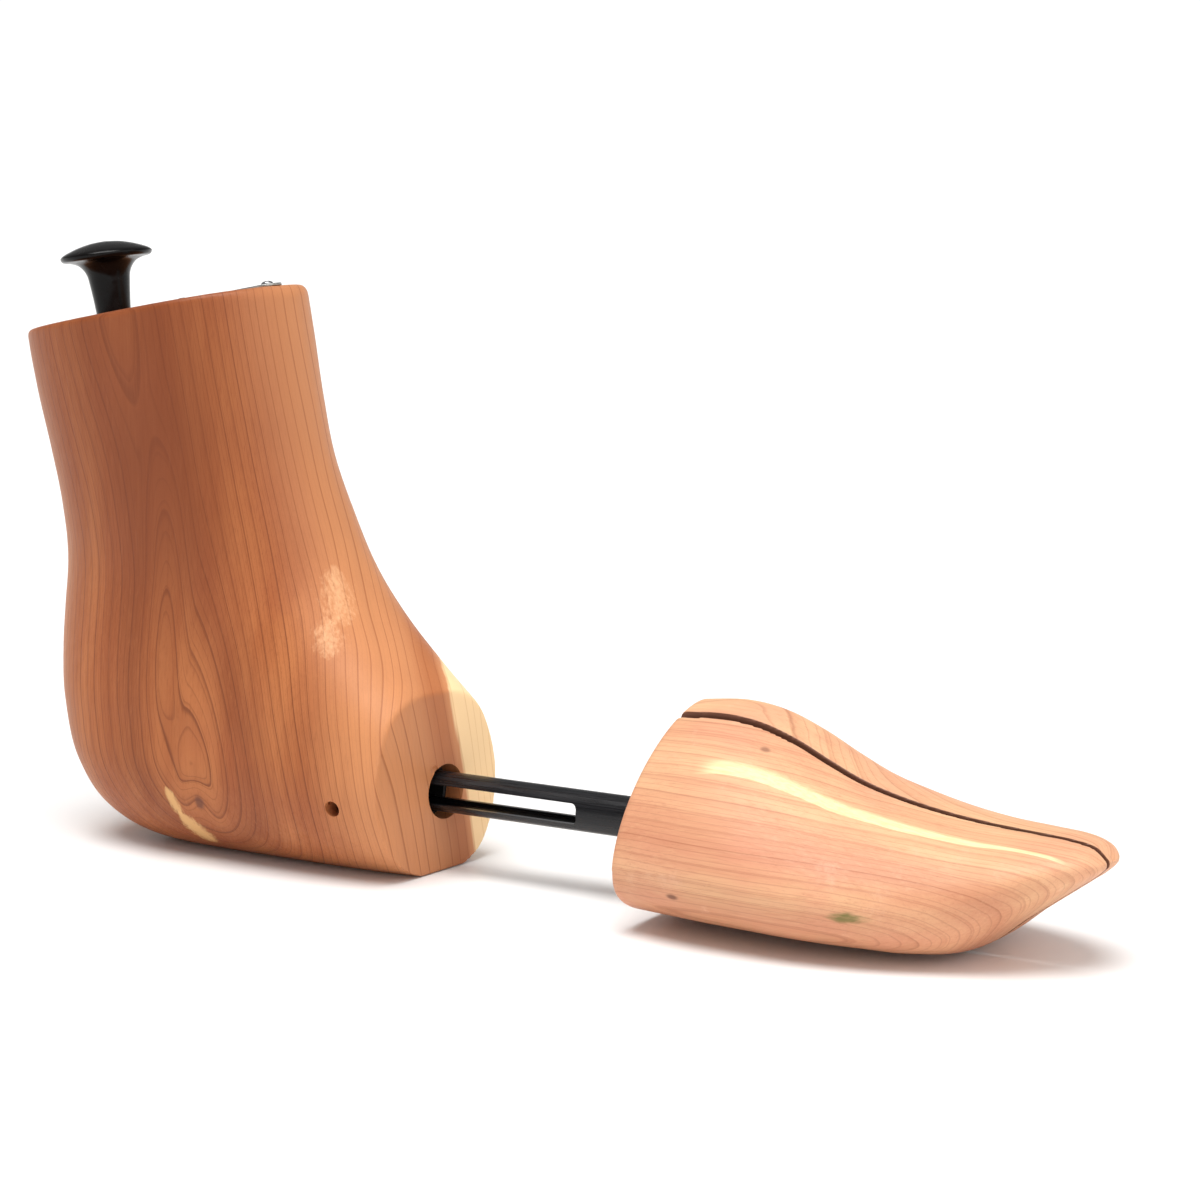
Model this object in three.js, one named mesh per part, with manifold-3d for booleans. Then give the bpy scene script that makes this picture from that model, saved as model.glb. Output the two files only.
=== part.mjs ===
// Cedar boot tree for a right foot: a tall heel block with a knob and a name plate on top, a slotted tube
// that slides in the block against a spring, and a toe in two halves that two small springs hold apart.
// Millimetres. +X runs to the toe, +Y to the medial side, +Z up. The shapes are drawn with X = 0 where the
// tube leaves the block, Y = 0 on the tube's axis and Z = 0 on the floor, and are moved to the origin last.
import * as THREE from "three";
import { ParametricGeometry } from "three/addons/geometries/ParametricGeometry.js";
import { mergeVertices } from "three/addons/utils/BufferGeometryUtils.js";
import Module from "manifold-3d";

const wasm = await Module();
wasm.setup();

// ---- driving dimensions ----
const clearance = 0.3;
const tubeHeight = 25; // axis of the tube above the floor
const tubeRadius = 6.35;
const tubeWall = 1.2;
const tubeRear = -33; // in the block
const tubeFront = 120; // in the toe
const slotHeight = 6.4;
const slotFront = 52;

const faceYaw = 4; // degrees that the block's front face turns to the lateral side
const topTilt = 10.6; // degrees, the front of the block's top higher
const topHeight = 172; // of the top at topCentre
const topCentre = -108;

const mouthRadius = 8.4;
const mouthDepth = 5;
const bushingLength = 9;
const boreRadius = 7;
const boreEnd = -120;
const springEnd = boreEnd + 1;
const pinX = -17.5;
const pinRadius = 2.2;
const pinHalfLength = 27;
const slotRear = pinX - pinRadius - 0.1; // the pin stops the tube here when the tree is at full length

const knobX = -130; // where the knob's axis meets the top
const knobTilt = 8; // degrees backwards from upright
const knobGap = 0.35; // under the middle of the knob's foot, because its axis isn't square to the top
const plateX = -84;
const plateLength = 44;
const plateWidth = 9.5;
const plateThickness = 0.8;
const plateGap = 0.05; // under the plate
const plateScrewSpacing = 35;

const pinZ = tubeHeight - 0.9;
const knobHoleDepth = 12;
const knobScrewRadius = 2.5;
const knobScrewDepth = 26;
const threadPitch = 2.6;
const threadDepth = 0.5;
const plateScrewRadius = 1.1;
const plateScrewDepth = 10;
const plateScrewHead = 1.9;
const plateScrewDome = 0.9;

const toeRear = 84;
const toeTip = 222;
const splitGapRear = 2.9;
const splitGapTip = 1.4;
const spreadTravel = 1.1;
const guideRadius = 2;
const rearGuideX = 103;
const frontGuideX = 158;
const rearGuideZ = tubeHeight;
const frontGuideZ = 19;
const guideReach = 24; // each side of the split

// The heel block's sections by height: rear end, widest place and front end along X, then the half
// widths to the lateral and the medial side.
const heelSections = [
  { z: 0, rear: -105, widest: -62, front: 10, lateral: 15, medial: 16 },
  { z: 3, rear: -113, widest: -62, front: 18, lateral: 22, medial: 22 },
  { z: 10, rear: -124, widest: -62, front: 24, lateral: 30, medial: 28.5 },
  { z: 25, rear: -134, widest: -62, front: 27, lateral: 37, medial: 33 },
  { z: 45, rear: -140, widest: -64, front: 13, lateral: 37, medial: 33 },
  { z: 62, rear: -142.5, widest: -68, front: -6, lateral: 35, medial: 32 },
  { z: 75, rear: -143.5, widest: -73, front: -19.5, lateral: 33, medial: 31 },
  { z: 90, rear: -144, widest: -79, front: -31.5, lateral: 31, medial: 30 },
  { z: 110, rear: -146.5, widest: -88, front: -42, lateral: 30, medial: 30 },
  { z: 126, rear: -150, widest: -95, front: -48.5, lateral: 30, medial: 30 },
  { z: 145, rear: -154.5, widest: -101, front: -53, lateral: 31, medial: 31 },
  { z: 165, rear: -157.5, widest: -107, front: -56.5, lateral: 32, medial: 32 },
  { z: 190, rear: -158.5, widest: -109, front: -61.5, lateral: 32, medial: 32 },
];

// The toe's sections along X: the sides, the underside, the crest and how far the crest lies to the medial side.
const toeSections = [
  { x: 84, lateral: -38.5, medial: 37, bottom: 1.2, top: 61, crest: 12 },
  { x: 100, lateral: -41.5, medial: 38.5, bottom: 0.6, top: 62, crest: 14 },
  { x: 112, lateral: -43, medial: 39.5, bottom: 0.3, top: 60.3, crest: 14 },
  { x: 124, lateral: -43.5, medial: 40, bottom: 0.3, top: 56, crest: 13 },
  { x: 135, lateral: -43.5, medial: 40, bottom: 0.3, top: 50.6, crest: 12 },
  { x: 146, lateral: -42.5, medial: 39.5, bottom: 0.3, top: 45.8, crest: 11 },
  { x: 159, lateral: -40, medial: 38.5, bottom: 0.3, top: 42.2, crest: 10 },
  { x: 172, lateral: -36, medial: 36.5, bottom: 0.3, top: 39.7, crest: 8 },
  { x: 186, lateral: -30, medial: 33.5, bottom: 2.7, top: 38, crest: 6 },
  { x: 200, lateral: -24, medial: 28.5, bottom: 13, top: 37, crest: 5 },
  { x: 211, lateral: -16.5, medial: 22.5, bottom: 20.9, top: 36.2, crest: 4.5 },
  { x: 218, lateral: -10.5, medial: 15, bottom: 25.9, top: 34.8, crest: 4 },
  { x: 222, lateral: -6, medial: 10.5, bottom: 28.4, top: 32.5, crest: 4 },
];

// ---- materials ----
function finish(color, roughness, metalness) {
  return new THREE.MeshStandardMaterial({ color, roughness, metalness });
}
const cedarBlock = finish(0xc98a60, 0.55, 0);
const cedarToe = finish(0xd29a72, 0.6, 0);
const blackLacquer = finish(0x0c0b0b, 0.18, 0);
const blackTube = finish(0x15161a, 0.38, 0.3);
const blackPlastic = finish(0x101010, 0.5, 0);
const steel = finish(0x9a9da0, 0.35, 1);
const springSteel = finish(0x8c8f92, 0.3, 1);
const plateMetal = finish(0x8f8f88, 0.45, 1);

// ---- solids ----
// A closed geometry as a manifold-3d solid: shared corners merged, slivers of no area left out.
function solid(geometry) {
  const bare = geometry.index ? geometry.toNonIndexed() : geometry.clone();
  bare.deleteAttribute("normal");
  bare.deleteAttribute("uv");
  const merged = mergeVertices(bare, 1e-4);
  const index = merged.index.array;
  const kept = [];
  for (let i = 0; i < index.length; i += 3) {
    const [a, b, c] = index.slice(i, i + 3);
    if (a !== b && b !== c && c !== a) kept.push(a, b, c);
  }
  return new wasm.Manifold(
    new wasm.Mesh({
      numProp: 3,
      vertProperties: merged.attributes.position.array,
      triVerts: new Uint32Array(kept),
    }),
  );
}

function geometryOf(body) {
  const mesh = body.getMesh();
  const geometry = new THREE.BufferGeometry();
  geometry.setAttribute("position", new THREE.BufferAttribute(mesh.vertProperties, 3));
  geometry.setIndex(new THREE.BufferAttribute(mesh.triVerts, 1));
  return geometry;
}

function piece(name, shape, material) {
  const geometry = shape.isBufferGeometry ? geometryOf(solid(shape)) : geometryOf(shape);
  const flat = geometry.toNonIndexed();
  flat.computeVertexNormals();
  const mesh = new THREE.Mesh(flat, material);
  mesh.name = name;
  return mesh;
}

// Value of one measure between the rows of a table, on a smooth curve through them.
function smooth(rows, along, measure) {
  return (at) => {
    const last = rows.length - 1;
    let i = 0;
    while (i < last - 1 && at > rows[i + 1][along]) i++;
    const [p, q] = [rows[i], rows[i + 1]];
    const width = q[along] - p[along];
    const slope = (a, b) => (b[measure] - a[measure]) / (b[along] - a[along]);
    const m0 = i > 0 ? (slope(rows[i - 1], p) + slope(p, q)) / 2 : slope(p, q);
    const m1 = i + 2 <= last ? (slope(p, q) + slope(q, rows[i + 2])) / 2 : slope(p, q);
    const t = (at - p[along]) / width;
    const [t2, t3] = [t * t, t * t * t];
    return (
      (2 * t3 - 3 * t2 + 1) * p[measure] +
      (t3 - 2 * t2 + t) * width * m0 +
      (3 * t2 - 2 * t3) * q[measure] +
      (t3 - t2) * width * m1
    );
  };
}

// A closed loft: rings of points at the given stations, each end closed by a fan to its middle.
function loft(stations, ringPoints, place) {
  const rings = stations.length;
  const at = (u, v, target) => {
    const step = Math.round(u * (rings + 1));
    const station = stations[Math.min(Math.max(step - 1, 0), rings - 1)];
    const closed = step === 0 || step === rings + 1;
    place(station, v === 0 ? 0 : (1 - v) * 2 * Math.PI, closed, target);
  };
  return new ParametricGeometry(at, rings + 1, ringPoints);
}

function signedPower(value, power) {
  return Math.sign(value) * Math.abs(value) ** power;
}

function cylinderAlong(axis, radius, from, to, centre, sides = 32) {
  const geometry = new THREE.CylinderGeometry(radius, radius, to - from, sides);
  geometry.translate(0, (from + to) / 2, 0);
  if (axis === "x") geometry.rotateZ(-Math.PI / 2);
  if (axis === "z") geometry.rotateX(Math.PI / 2);
  return solid(geometry.translate(...centre));
}

function lathe(points, sides = 32) {
  const profile = points.map(([radius, height]) => new THREE.Vector2(radius, height));
  return new THREE.LatheGeometry(profile, sides).rotateX(Math.PI / 2);
}

// A cutter that takes away everything past a plane through a point, along the plane's normal.
function beyondPlane(point, normal) {
  const size = 600;
  const box = new THREE.BoxGeometry(size, size, size).translate(0, 0, size / 2);
  const turn = new THREE.Quaternion().setFromUnitVectors(new THREE.Vector3(0, 0, 1), normal);
  return solid(box.applyQuaternion(turn).translate(point.x, point.y, point.z));
}

// ---- heel block ----
const degree = Math.PI / 180;
const topFrame = new THREE.Matrix4()
  .makeTranslation(topCentre, 0, topHeight)
  .multiply(new THREE.Matrix4().makeRotationY(-topTilt * degree));
const plateAlongTop = (plateX - topCentre) / Math.cos(topTilt * degree);
const plateScrewPlaces = [-1, 1].map((side) => plateAlongTop + (side * plateScrewSpacing) / 2);

const knobFrame = new THREE.Matrix4()
  .makeTranslation(knobX, 0, topHeight + (knobX - topCentre) * Math.tan(topTilt * degree))
  .multiply(new THREE.Matrix4().makeRotationY(-knobTilt * degree));

function heelLoft() {
  const measures = {};
  for (const name of ["rear", "widest", "front", "lateral", "medial"]) {
    measures[name] = smooth(heelSections, "z", name);
  }
  const heights = [0, 1, 2.5, 5, 8, 12, 17];
  for (let z = 24; z <= 190; z += 8) heights.push(z);
  return loft(heights, 48, (z, angle, closed, target) => {
    const [c, s] = [Math.cos(angle), Math.sin(angle)];
    const widest = measures.widest(z);
    const length = c > 0 ? measures.front(z) - widest : widest - measures.rear(z);
    const half = s > 0 ? measures.medial(z) : measures.lateral(z);
    // The lateral side has the fuller corners low down, and both sides are alike at the ankle.
    const fullness = s > 0 ? 2.4 : 2.4 + 1.0 * THREE.MathUtils.smoothstep(100 - z, 0, 60);
    const x = widest + length * signedPower(c, 2 / fullness);
    const y = half * signedPower(s, 2 / fullness);
    if (closed) target.set(widest, 0, z);
    else target.set(x, y, z);
  });
}

function heelBlock() {
  const faceNormal = new THREE.Vector3(Math.cos(faceYaw * degree), -Math.sin(faceYaw * degree), 0);
  const top = new THREE.Vector3(topCentre, 0, topHeight);
  const topNormal = new THREE.Vector3(0, 0, 1).transformDirection(topFrame);
  const cuts = [
    beyondPlane(top, topNormal),
    beyondPlane(new THREE.Vector3(0, 0, tubeHeight), faceNormal),
    cylinderAlong("x", mouthRadius, -mouthDepth - bushingLength - clearance, 20, [0, 0, tubeHeight]),
    cylinderAlong("x", boreRadius, boreEnd, 0, [0, 0, tubeHeight]),
    cylinderAlong("y", pinRadius + clearance, -60, 60, [pinX, 0, pinZ], 24),
    hole(knobFrame, 0, knobScrewRadius + clearance, knobScrewDepth + clearance),
    ...plateScrewPlaces.map((x) => hole(topFrame, x, plateScrewRadius + clearance, plateScrewDepth + 1)),
  ];
  return cuts.reduce((body, cut) => body.subtract(cut), solid(heelLoft()));
}

function hole(frame, x, radius, depth) {
  const above = 10;
  const drill = new THREE.CylinderGeometry(radius, radius, depth + above, 20).rotateX(Math.PI / 2);
  drill.translate(x, 0, (above - depth) / 2);
  return solid(drill.applyMatrix4(frame));
}

// ---- pieces on the top of the block, drawn from the place where they stand ----
function knob() {
  const bore = knobScrewRadius + clearance;
  return lathe([
    [0, knobHoleDepth],
    [bore, knobHoleDepth],
    [bore, 0],
    [5.5, 0],
    [5.85, 4.5],
    [6.2, 8],
    [6.55, 11],
    [6.95, 13.6],
    [7.9, 15.7],
    [9.5, 17.4],
    [11.7, 18.3],
    [14.1, 18.8],
    [14.85, 19.9],
    [14.4, 20.7],
    [12.8, 21.6],
    [9.4, 22.9],
    [5, 24],
    [0, 24.5],
  ], 36);
}

function knobScrew() {
  const turns = Math.floor((knobScrewDepth + knobHoleDepth - 4) / threadPitch);
  const start = -knobScrewDepth + 3;
  const points = [[0, -knobScrewDepth], [knobScrewRadius - threadDepth, start]];
  for (let i = 0; i < turns; i++) {
    points.push([knobScrewRadius, start + (i + 0.5) * threadPitch]);
    points.push([knobScrewRadius - threadDepth, start + (i + 1) * threadPitch]);
  }
  points.push([0, points.at(-1)[1]]);
  return lathe(points, 16);
}

function namePlate() {
  const round = plateWidth / 2;
  const straight = plateLength / 2 - round;
  const outline = new THREE.Shape();
  outline.absarc(straight, 0, round, -Math.PI / 2, Math.PI / 2);
  outline.absarc(-straight, 0, round, Math.PI / 2, 1.5 * Math.PI);
  for (const side of [-1, 1]) {
    const hole = new THREE.Path();
    hole.absarc((side * plateScrewSpacing) / 2, 0, plateScrewRadius + clearance, 0, 2 * Math.PI, true);
    outline.holes.push(hole);
  }
  return new THREE.ExtrudeGeometry(outline, { depth: plateThickness, bevelEnabled: false, curveSegments: 8 });
}

function plateScrew() {
  const under = plateThickness + 2 * plateGap;
  const [head, dome] = [plateScrewHead, plateScrewDome];
  const points = [[0, -plateScrewDepth], [plateScrewRadius, -plateScrewDepth + 2], [plateScrewRadius, under]];
  const arcSteps = 5;
  for (let i = 0; i <= arcSteps; i++) {
    const angle = ((i / arcSteps) * Math.PI) / 2;
    points.push([head * Math.cos(angle), under + 0.2 + dome * Math.sin(angle)]);
  }
  points.splice(3, 0, [head, under]);
  points[points.length - 1][0] = 0;
  return lathe(points, 16);
}

// ---- slide ----
// A tube wall as a ring drawn in the YZ plane and run along X.
function ringAlongX(outer, inner, from, to, segments = 20) {
  const ring = new THREE.Shape().absarc(0, 0, outer, 0, 2 * Math.PI);
  ring.holes.push(new THREE.Path().absarc(0, 0, inner, 0, 2 * Math.PI, true));
  const run = new THREE.ExtrudeGeometry(ring, {
    depth: to - from,
    bevelEnabled: false,
    curveSegments: segments,
  });
  return run.rotateY(Math.PI / 2).translate(from, 0, tubeHeight);
}

function slideTube() {
  const [low, high, corner] = [-slotHeight / 2, slotHeight / 2, 2];
  const slot = new THREE.Shape();
  slot.moveTo(slotRear + corner, low);
  slot.lineTo(slotFront - corner, low);
  slot.absarc(slotFront - corner, low + corner, corner, -Math.PI / 2, 0);
  slot.absarc(slotFront - corner, high - corner, corner, 0, Math.PI / 2);
  slot.absarc(slotRear + corner, high - corner, corner, Math.PI / 2, Math.PI);
  slot.absarc(slotRear + corner, low + corner, corner, Math.PI, 1.5 * Math.PI);
  const through = new THREE.ExtrudeGeometry(slot, { depth: 30, bevelEnabled: false, curveSegments: 4 });
  through.rotateX(Math.PI / 2).translate(0, 15, tubeHeight);
  const guideHole = cylinderAlong("y", guideRadius + clearance, -20, 20, [rearGuideX, 0, tubeHeight], 16);
  const wall = solid(ringAlongX(tubeRadius, tubeRadius - tubeWall, tubeRear, tubeFront));
  return wall.subtract(solid(through)).subtract(guideHole);
}

function tubeBushing() {
  const front = -mouthDepth;
  return ringAlongX(mouthRadius - clearance, tubeRadius + clearance, front - bushingLength, front);
}

// A roll pin: sheet steel rolled nearly to a full circle, its gap upward.
function crossPin() {
  const gap = 20 * degree;
  const [outer, inner] = [pinRadius, pinRadius - 0.6];
  const curl = new THREE.Shape();
  curl.absarc(0, 0, outer, Math.PI / 2 + gap, 2.5 * Math.PI - gap, false);
  curl.absarc(0, 0, inner, 2.5 * Math.PI - gap, Math.PI / 2 + gap, true);
  const roll = new THREE.ExtrudeGeometry(curl, {
    depth: 2 * pinHalfLength,
    bevelEnabled: false,
    curveSegments: 10,
  });
  return roll.rotateX(Math.PI / 2).translate(pinX, pinHalfLength, pinZ);
}

class Helix extends THREE.Curve {
  constructor(radius, turns, from, to) {
    super();
    Object.assign(this, { radius, turns, from, to });
  }
  getPoint(t, target = new THREE.Vector3()) {
    const angle = t * this.turns * 2 * Math.PI;
    const along = this.from + t * (this.to - this.from);
    return target.set(this.radius * Math.cos(angle), this.radius * Math.sin(angle), along);
  }
}

// A coil spring of round wire along Z, from one height to another.
function coil({ radius, wire, turns, from, to }, stepsPerTurn = 10, wireSides = 5) {
  const section = new THREE.Shape();
  for (let i = 0; i < wireSides; i++) {
    const angle = (i / wireSides) * 2 * Math.PI;
    section[i ? "lineTo" : "moveTo"](wire * Math.cos(angle), wire * Math.sin(angle));
  }
  return new THREE.ExtrudeGeometry(section, {
    steps: Math.round(turns * stepsPerTurn),
    extrudePath: new Helix(radius, turns, from + wire, to - wire),
  });
}

function mainSpring() {
  const spring = { radius: 5.5, wire: 0.65, turns: 15, from: springEnd, to: tubeRear - clearance };
  return coil(spring).rotateY(Math.PI / 2).translate(0, 0, tubeHeight);
}

// ---- toe ----
function toeLoft() {
  const measures = {};
  for (const name of ["lateral", "medial", "bottom", "top", "crest"]) {
    measures[name] = smooth(toeSections, "x", name);
  }
  const stations = [];
  for (let x = toeRear; x < toeTip - 10; x += 6) stations.push(x);
  stations.push(toeTip - 7, toeTip - 4, toeTip - 1.5, toeTip);
  return loft(stations, 48, (x, angle, closed, target) => {
    const [c, s] = [Math.cos(angle), Math.sin(angle)];
    const crest = measures.crest(x);
    const [bottom, top] = [measures.bottom(x), measures.top(x)];
    const widestHeight = bottom + (top - bottom) * THREE.MathUtils.lerp(0.29, 0.5, (x - toeRear) / (toeTip - toeRear));
    const side = c > 0 ? measures.medial(x) - crest : crest - measures.lateral(x);
    const rise = s > 0 ? top - widestHeight : widestHeight - bottom;
    const fullness = s > 0 ? THREE.MathUtils.lerp(1.6, 2, (x - toeRear) / (toeTip - toeRear)) : 2.6;
    const y = crest + side * signedPower(c, 2 / fullness);
    const z = widestHeight + rise * signedPower(s, 2 / fullness);
    if (closed) target.set(x, crest, widestHeight);
    else target.set(x, y, z);
  });
}

// The inner faces of the halves come closer together towards the tip.
function innerFacePlane(side) {
  const start = new THREE.Vector3(toeRear, (side * splitGapRear) / 2, 0);
  const end = new THREE.Vector3(toeTip, (side * splitGapTip) / 2, 0);
  const along = end.clone().sub(start).normalize();
  return { point: start, normal: new THREE.Vector3(side * along.y, -side * along.x, 0) };
}

function toeHalf(side) {
  const { point, normal } = innerFacePlane(side);
  // The medial half slides towards the tube, so its half of the bore is wider by that travel.
  const room = side < 0 ? clearance : spreadTravel + 0.8;
  const springs = spreadSprings();
  const cuts = [
    cylinderAlong("x", tubeRadius + room, 0, tubeFront + 1.5, [0, 0, tubeHeight]),
    cylinderAlong("y", guideRadius + clearance, -guideReach - 0.5, guideReach + 3.5, [rearGuideX, 0, rearGuideZ], 20),
    cylinderAlong("y", guideRadius + clearance, -guideReach - 0.5, guideReach + 3.5, [frontGuideX, 0, frontGuideZ], 20),
  ];
  for (const spring of Object.values(springs)) {
    const reach = side < 0 ? -spring.from : spring.to;
    if (reach < 0) continue;
    const [from, to] = side < 0 ? [-reach - 0.3, 0] : [0, reach + 0.3];
    cuts.push(cylinderAlong("y", spring.radius + spring.wire + 0.5, from, to, [spring.x, 0, spring.z], 24));
  }
  return cuts.reduce((body, cut) => body.subtract(cut), solid(toeLoft()).subtract(beyondPlane(point, normal)));
}

// The rear spring pushes the medial half off the tube, the front one pushes the two halves apart.
function spreadSprings() {
  const shared = { radius: 3.2, wire: 0.4 };
  return {
    rear: { ...shared, turns: 5, from: tubeRadius + clearance, to: 19, x: rearGuideX, z: rearGuideZ },
    front: { ...shared, turns: 6, from: -8, to: 9, x: frontGuideX, z: frontGuideZ },
  };
}

function spreadSpring(name) {
  const spring = spreadSprings()[name];
  return coil(spring).rotateX(-Math.PI / 2).translate(spring.x, 0, spring.z);
}

function guidePin(x, z) {
  return cylinderAlong("y", guideRadius, -guideReach, guideReach, [x, 0, z], 20);
}

// ---- assembly ----
const tree = new THREE.Group();
const onTop = new THREE.Group();
onTop.position.set(topCentre, 0, topHeight);
onTop.rotation.y = -topTilt * degree;
tree.add(onTop);

tree.add(piece("heel_block", heelBlock(), cedarBlock));

const onKnobAxis = new THREE.Group();
onKnobAxis.position.setFromMatrixPosition(knobFrame);
onKnobAxis.rotation.y = -knobTilt * degree;
tree.add(onKnobAxis);
const knobPiece = piece("pull_knob", knob(), blackLacquer);
knobPiece.position.z = knobGap;
onKnobAxis.add(knobPiece, piece("knob_screw", knobScrew(), steel));

const plate = piece("name_plate", namePlate(), plateMetal);
plate.position.set(plateAlongTop, 0, plateGap);
onTop.add(plate);
["plate_screw_rear", "plate_screw_front"].forEach((name, i) => {
  const screw = piece(name, plateScrew(), steel);
  screw.position.set(plateScrewPlaces[i], 0, 0);
  onTop.add(screw);
});

tree.add(piece("tube_bushing", tubeBushing(), blackPlastic));
tree.add(piece("cross_pin", crossPin(), steel));
tree.add(piece("main_spring", mainSpring(), springSteel));
tree.add(piece("slide_tube", slideTube(), blackTube));
tree.add(piece("toe_lateral", toeHalf(-1), cedarToe));
tree.add(piece("toe_medial", toeHalf(1), cedarToe));
tree.add(piece("guide_pin_rear", guidePin(rearGuideX, rearGuideZ), steel));
tree.add(piece("guide_pin_front", guidePin(frontGuideX, frontGuideZ), steel));
tree.add(piece("spread_spring_rear", spreadSpring("rear"), springSteel));
tree.add(piece("spread_spring_front", spreadSpring("front"), springSteel));

// The origin is the middle of the whole tree's footprint, on the floor.
tree.updateMatrixWorld(true);
const extent = new THREE.Box3().setFromObject(tree, true);
const middle = extent.getCenter(new THREE.Vector3());
tree.position.set(-middle.x, -middle.y, -extent.min.z);

export default tree;
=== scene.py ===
import math

import bmesh
import bpy
import numpy as np
from mathutils import Matrix, Vector


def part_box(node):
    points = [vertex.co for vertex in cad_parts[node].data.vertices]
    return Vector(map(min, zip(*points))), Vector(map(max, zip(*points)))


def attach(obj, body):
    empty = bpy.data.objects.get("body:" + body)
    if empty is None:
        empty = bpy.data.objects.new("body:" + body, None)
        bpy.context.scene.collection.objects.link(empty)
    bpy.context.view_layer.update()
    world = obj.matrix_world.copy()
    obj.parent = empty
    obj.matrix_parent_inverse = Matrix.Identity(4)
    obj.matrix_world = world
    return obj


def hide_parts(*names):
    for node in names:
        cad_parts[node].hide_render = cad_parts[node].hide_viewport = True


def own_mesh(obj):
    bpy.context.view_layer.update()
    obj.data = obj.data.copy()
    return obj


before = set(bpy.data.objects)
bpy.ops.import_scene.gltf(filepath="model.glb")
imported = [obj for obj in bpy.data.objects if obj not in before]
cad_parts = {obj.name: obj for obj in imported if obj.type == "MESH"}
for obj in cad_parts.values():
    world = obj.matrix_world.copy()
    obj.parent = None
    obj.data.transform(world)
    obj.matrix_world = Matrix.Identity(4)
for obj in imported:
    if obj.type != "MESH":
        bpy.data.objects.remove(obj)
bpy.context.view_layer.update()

# A cedar boot tree. Its shapes are worked out in millimetres in the tree's own drawing frame: X = 0 where the
# tube leaves the heel block, Y = 0 on the tube's axis, Z = 0 on the floor, +X to the toe and +Y to the medial
# side. piece() moves each one into the row frame, in metres.
MM = 0.001

# ---- dimensions, in millimetres, as in the CAD ----
CLEARANCE = 0.3
BORE_OVERLAP = 1.0  # how far one cutter runs into the next
TUBE_HEIGHT = 25.0
TUBE_RADIUS = 6.35
TUBE_WALL = 1.2
TUBE_REAR = -33.0
TUBE_FRONT = 120.0
SLOT_HEIGHT = 6.4
SLOT_FRONT = 52.0
SLOT_CORNER = 2.0
FACE_YAW = math.radians(4.0)
TOP_TILT = math.radians(10.6)
TOP_HEIGHT = 172.0
TOP_CENTRE = -108.0
TOP_POINT = (TOP_CENTRE, 0, TOP_HEIGHT)
TOP_NORMAL = (-math.sin(TOP_TILT), 0, math.cos(TOP_TILT))
ON_AXIS = (0, 0, TUBE_HEIGHT)  # where the tube's axis leaves the block
FACE_NORMAL = (math.cos(FACE_YAW), -math.sin(FACE_YAW), 0)
MOUTH_RADIUS = 8.4
MOUTH_DEPTH = 5.0
BUSHING_LENGTH = 9.0
BORE_RADIUS = 7.0
BORE_END = -120.0
PIN_X = -17.5
PIN_Z = TUBE_HEIGHT - 0.9
PIN_RADIUS = 2.2
PIN_HALF_LENGTH = 27.0
PIN_WALL = 0.6
SLOT_REAR = PIN_X - PIN_RADIUS - 0.1
KNOB_X = -130.0
KNOB_TILT = math.radians(8.0)
KNOB_GAP = 0.35
KNOB_HOLE_DEPTH = 12.0
KNOB_SCREW_RADIUS = 2.5
KNOB_SCREW_DEPTH = 26.0
THREAD_PITCH = 2.6
THREAD_DEPTH = 0.5
PLATE_X = -84.0
PLATE_LENGTH = 44.0
PLATE_WIDTH = 9.5
PLATE_THICKNESS = 0.8
PLATE_GAP = 0.05
PLATE_SCREW_SPACING = 35.0
PLATE_SCREW_RADIUS = 1.1
PLATE_SCREW_DEPTH = 10.0
PLATE_SCREW_HEAD = 1.9
PLATE_SCREW_DOME = 0.9
TOE_REAR = 84.0
TOE_TIP = 222.0
SPLIT_GAP_REAR = 2.9
SPLIT_GAP_TIP = 1.4
SPREAD_TRAVEL = 1.1
GUIDE_RADIUS = 2.0
GUIDE_REACH = 24.0
SPRING_ROOM = 0.5  # round a spring in its seat
GUIDE_END_ROOM = 0.5
GUIDE_CLOSING_ROOM = 3.5  # past a pin's medial end, for the half that closes over it
REAR_GUIDE = (103.0, TUBE_HEIGHT)
FRONT_GUIDE = (158.0, 19.0)
MAIN_COIL = {"radius": 5.5, "wire": 0.65, "turns": 15, "start": BORE_END + 1, "end": TUBE_REAR - CLEARANCE}
REAR_COIL = {"radius": 3.2, "wire": 0.4, "turns": 5, "start": TUBE_RADIUS + CLEARANCE, "end": 19.0}
FRONT_COIL = {"radius": 3.2, "wire": 0.4, "turns": 6, "start": -8.0, "end": 9.0}

# The heel block's sections by height: rear end, widest place and front end along X, then the half widths to
# the lateral and the medial side.
HEEL_COLUMNS = ("z", "rear", "widest", "front", "lateral", "medial")
HEEL_SECTIONS = (
    (0, -105, -62, 10, 15, 16),
    (3, -113, -62, 18, 22, 22),
    (10, -124, -62, 24, 30, 28.5),
    (25, -134, -62, 27, 37, 33),
    (45, -140, -64, 13, 37, 33),
    (62, -142.5, -68, -6, 35, 32),
    (75, -143.5, -73, -19.5, 33, 31),
    (90, -144, -79, -31.5, 31, 30),
    (110, -146.5, -88, -42, 30, 30),
    (126, -150, -95, -48.5, 30, 30),
    (145, -154.5, -101, -53, 31, 31),
    (165, -157.5, -107, -56.5, 32, 32),
    (190, -158.5, -109, -61.5, 32, 32),
)
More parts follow.
